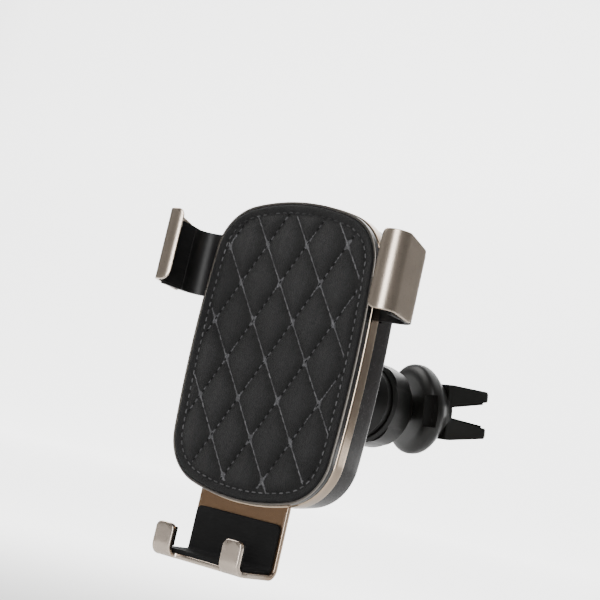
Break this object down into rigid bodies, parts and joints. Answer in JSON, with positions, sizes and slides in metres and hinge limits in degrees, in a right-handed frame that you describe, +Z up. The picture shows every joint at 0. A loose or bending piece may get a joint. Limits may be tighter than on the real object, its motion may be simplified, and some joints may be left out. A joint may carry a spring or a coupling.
{
  "type": "vent phone holder",
  "caption": "Gravity-closing car phone holder: quilted leather pad, metal side clamps and hooked foot on hidden racks and pinions, ball joint and slotted vent clip.",
  "frame": {"origin": "centre of the leather pad's front face", "axes": "+X to the right as seen by the user, +Y back towards the vent, +Z up"},
  "size_m": [0.0776, 0.1032, 0.0986],
  "materials": {
    "leather": "grained black, quilted",
    "foam": "matt",
    "bright_trim": "cut and polished",
    "gloss_black": "gloss",
    "champagne": "satin champagne",
    "housing_black": "gloss",
    "arm_black": "matt",
    "satin_black": "satin",
    "screw_steel": "satin",
    "acetal": "natural",
    "axle_steel": "ground",
    "spring_steel": "drawn",
    "rubber_black": "matt"
  },
  "bodies": {
    "clip": {"clip_head": "satin_black", "prong_grips": "rubber_black"},
    "stud": {"ball_stud": "satin_black", "stud_screw": "screw_steel"},
    "seat": {"ball_seat": "acetal"},
    "holder": {"rear_housing": "housing_black", "front_tray": "gloss_black", "leather_cover": "leather", "pad_foam": "foam", "trim_ring": "bright_trim", "bezel_ring": "champagne", "housing_screws": "screw_steel", "ball_socket": "satin_black", "socket_screws": "screw_steel", "pinion_axles": "axle_steel", "left_spring": "spring_steel", "right_spring": "spring_steel"},
    "nut": {"collar_nut": "satin_black"},
    "foot": {"foot_plate": "champagne", "foot_carriage": "acetal", "foot_rivets": "screw_steel", "foot_pad": "rubber_black", "hook_liners": "rubber_black"},
    "left_clamp": {"left_arm": "arm_black", "left_clamp_shell": "champagne", "left_clamp_liner": "rubber_black"},
    "right_clamp": {"right_arm": "arm_black", "right_clamp_shell": "champagne", "right_clamp_liner": "rubber_black"},
    "left_gear": {"left_pinion": "acetal"},
    "right_gear": {"right_pinion": "acetal"}
  },
  "joints": [
    {"name": "clip_spin", "type": "hinge", "parent": "clip", "child": "stud", "pos_m": [0, 0.056, -0.0056], "axis": [0.457, 0.8779, 0.1426], "continuous": true},
    {"name": "ball_tilt", "type": "hinge", "parent": "stud", "child": "seat", "pos_m": [0, 0.056, -0.0056], "axis": [0.887, -0.4617, 0], "range_deg": [-6.8, 23.2]},
    {"name": "ball_pan", "type": "hinge", "parent": "seat", "child": "holder", "pos_m": [0, 0.056, -0.0056], "axis": [0, 0, 1], "range_deg": [-62.5, 7.5]},
    {"name": "nut_turn", "type": "hinge", "parent": "holder", "child": "nut", "pos_m": [0, 0.052, -0.0056], "axis": [0, 1, 0], "range_deg": [-45, 45]},
    {"name": "foot_slide", "type": "slide", "parent": "holder", "child": "foot", "axis": [0, 0, -1], "range_m": [-0.0026, 0.0056], "stiffness_N_per_m": 40, "springref_m": -0.0026, "deforming": ["left_spring", "right_spring"]},
    {"name": "left_clamp_slide", "type": "slide", "parent": "holder", "child": "left_clamp", "axis": [1, 0, 0], "range_m": [-0.0026, 0.0056]},
    {"name": "right_clamp_slide", "type": "slide", "parent": "holder", "child": "right_clamp", "axis": [-1, 0, 0], "range_m": [-0.0026, 0.0056]},
    {"name": "left_gear_spin", "type": "hinge", "parent": "holder", "child": "left_gear", "pos_m": [-0.01, 0.0107, 0.009], "axis": [0, 1, 0], "range_deg": [-30.29, 64.67]},
    {"name": "right_gear_spin", "type": "hinge", "parent": "holder", "child": "right_gear", "pos_m": [0.01, 0.0107, 0.009], "axis": [0, -1, 0], "range_deg": [-30.29, 64.67]}
  ],
  "couplings": [
    {"joint": "left_clamp_slide", "follows": "foot_slide", "ratio": 1},
    {"joint": "right_clamp_slide", "follows": "foot_slide", "ratio": 1},
    {"joint": "left_gear_spin", "follows": "foot_slide", "rad_per_m": 200},
    {"joint": "right_gear_spin", "follows": "foot_slide", "rad_per_m": 200}
  ]
}
